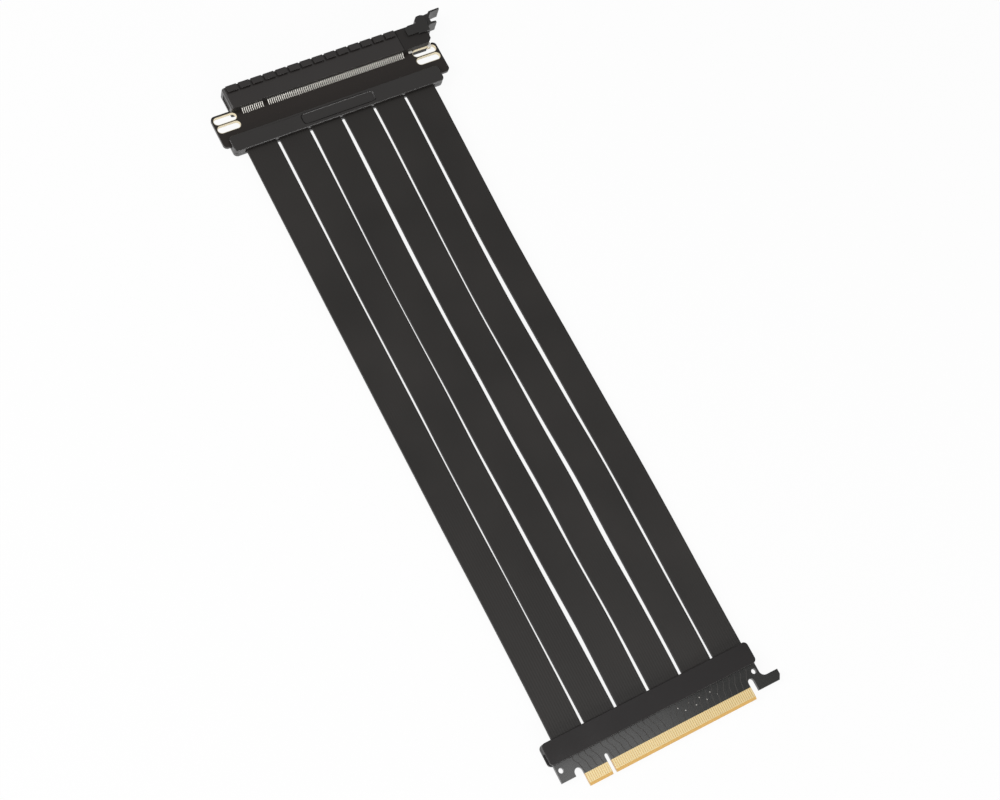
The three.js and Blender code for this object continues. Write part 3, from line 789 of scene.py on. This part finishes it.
@dataclass
class SlotHead:
    """Slot board with the shielded connector, its leads, plated slots, covers and latch."""

    level: float = 5.15
    half_board: float = 0.8
    seat: float = 162.2
    mouth: float = 173.4
    foot: float = 2.3
    foot_width: float = 0.3
    rise: float = 1.9
    lead_width: float = 0.42
    lead_thick: float = 0.2
    ear_width: float = 3.8
    ear_heights: tuple[float, float] = (155.7, 160.15)
    left_slot: tuple[float, float] = (-62.13, -51.03)
    right_slot: tuple[float, float] = (40.57, 52.77)
    rim: float = 0.14
    plating: float = 0.05

    def dress(self, palette: Palette) -> None:
        """Gives the CAD nodes their finishes and rounded edges.

        Args:
            palette: the finishes.
        """
        nodes = frame["nodes"]
        palette.dress(nodes["slot_board"], "slot varnish")
        palette.dress(nodes["slot_housing"], "housing plastic")
        palette.dress(nodes["slot_shield"], "black steel")
        soften(nodes["slot_shield"], 0.08, 1)
        palette.dress(nodes["latch"], "latch plastic")
        soften(nodes["latch"], 0.14, 2)
        for side in ("front", "back"):
            palette.dress(nodes[f"slot_cover_{side}"], "slot cover plastic")
            soften(nodes[f"slot_cover_{side}"], 0.4, 3)
            palette.dress(nodes[f"slot_earth_bar_{side}"], "tin")
            for group in ("short", "long"):
                palette.dress(nodes[f"contacts_{side}_{group}"], "tin")
        for number in (1, 2):
            palette.dress(nodes[f"board_lock_{number}"], "tin")
        log.info("slot head: board, connector, latch and covers dressed")

    def lead(self, sign: int) -> tuple[np.ndarray, Faces]:
        """One contact: a narrow foot on the board's face, a slope up into the housing, and a spring that bows
        towards the card and away again at the mouth.

        Args:
            sign: 1 on the upper face of the board, -1 on the lower.

        Returns:
            Corners and faces, with the contact's middle at X = 0.
        """
        outside = [[-self.foot, 0.9], [-1.5, 0.9], [-1.25, 0.96], [-0.1, self.rise]]
        inside = [[0.15, self.rise], [0.6, 1.55], [1.6, 1.0], [2.6, 1.0]]
        spring = [[4.6, 1.12], [6.4, 0.95], [7.8, 0.72], [8.8, 0.82], [9.3, 1.15]]
        y, z = np.array(outside + inside + spring).T
        y = y + self.seat
        path = np.column_stack([np.zeros_like(y), y, self.level + sign * z])
        points, faces = strip(path, np.array([1.0, 0.0, 0.0]), self.lead_width, self.lead_thick)
        foot = points[:, 1] < self.seat - 1.2
        points[foot, 0] *= self.foot_width / self.lead_width
        return points, faces

    def fillet(self, sign: int) -> tuple[np.ndarray, Faces]:
        """Solder round one foot: a low mound, half an ellipse across and fading to a point at both ends.

        Args:
            sign: 1 on the upper face of the board, -1 on the lower.

        Returns:
            Corners and faces, with the foot's middle at X = 0.
        """
        y = np.linspace(self.seat - self.foot - 0.2, self.seat - 1.2, 5)
        size = np.array([0.35, 0.9, 1.0, 0.9, 0.4])
        turn = np.linspace(0, np.pi, 5)
        half, rise = 0.2 * size[:, None], 0.1 * size[:, None]
        x = half * np.cos(turn)[None, :]
        z = self.level + sign * (self.half_board + rise * np.sin(turn)[None, :])
        return tube(np.stack([x, np.broadcast_to(y[:, None], x.shape), z], axis=-1))

    def contacts(self, palette: Palette) -> None:
        """Makes the four groups of single leads in place of the plain combs, and their solder.

        Args:
            palette: the finishes.
        """
        row = ContactRow()
        for side, sign in (("front", 1), ("back", -1)):
            for group in ("short", "long"):
                places = row.places(group == "long")
                offsets = np.column_stack([places, np.zeros_like(places), np.zeros_like(places)])
                leads = copies(*self.lead(sign), offsets)
                piece = add_piece(f"leads_{side}_{group}", leads, palette, "tin")
                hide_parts(f"contacts_{side}_{group}")
                mounds = copies(*self.fillet(sign), offsets)
                add_piece(f"solder_{side}_{group}", mounds, palette, "solder", smooth_angle=60.0)

    def plated_slots(self, palette: Palette) -> None:
        """Gold rims and walls of the four screw slots: a flat-sided ring, bent over both faces of the board,
        carried round a stadium of two half circles and two straights.

        Args:
            palette: the finishes.
        """
        half, wall = self.half_board, self.plating
        section = np.array([
            [-wall, half - 0.02], [-wall, half + wall], [self.rim, half + wall], [self.rim, half - 0.02],
            [0.0, half - 0.02], [0.0, 0.02 - half], [self.rim, 0.02 - half], [self.rim, -half - wall],
            [-wall, -half - wall], [-wall, 0.02 - half],
        ])
        radius = self.ear_width / 2
        turn = np.linspace(-np.pi / 2, np.pi / 2, 13)
        parts = []
        for left, right in (self.left_slot, self.right_slot):
            for height in self.ear_heights:
                ends = [(right - radius, turn), (left + radius, turn + np.pi)]
                centre = np.vstack([
                    np.column_stack([np.full_like(a, x), np.full_like(a, height)]) for x, a in ends
                ])
                angle = np.concatenate([a for _, a in ends])
                out = np.column_stack([np.cos(angle), np.sin(angle)])
                flat = centre[:, None, :] + (radius + section[None, :, 0, None]) * out[:, None, :]
                z = np.broadcast_to(self.level + section[None, :, 1], flat.shape[:2])
                parts.append(loop_skin(np.concatenate([flat, z[:, :, None]], axis=-1)))
        add_piece("plated_slots", joined(parts), palette, "pale plating")

    def dividers(self, palette: Palette) -> None:
        """Thin plastic walls between neighbouring contacts inside the connector's mouth.

        Args:
            palette: the finishes.
        """
        row = ContactRow()
        parts = []
        for long in (False, True):
            places = row.places(long)
            between = (places[1:] + places[:-1]) / 2
            for sign in (1, -1):
                near, far = sorted((self.level + sign * 0.97, self.level + sign * 1.5))
                wall = box((-0.17, self.seat + 2.6, near), (0.17, self.mouth - 1.75, far))
                offsets = np.column_stack([between, np.zeros_like(between), np.zeros_like(between)])
                parts.append(copies(*wall, offsets))
        add_piece("contact_dividers", joined(parts), palette, "housing plastic")

    def build(self, palette: Palette) -> None:
        """Dresses the head and adds its small pieces.

        Args:
            palette: the finishes.
        """
        self.dress(palette)
        self.contacts(palette)
        self.plated_slots(palette)
        self.dividers(palette)


def main() -> None:
    """Builds the camera, the ribbons, both heads and the studio, in that order."""
    logging.basicConfig(level=logging.INFO, format="%(name)s %(message)s")
    studio = Studio()
    studio.camera()
    palette = Palette()
    Ribbons().build(palette)
    CardHead().build(palette)
    SlotHead().build(palette)
    studio.build()


if __name__ == "__main__":
    main()
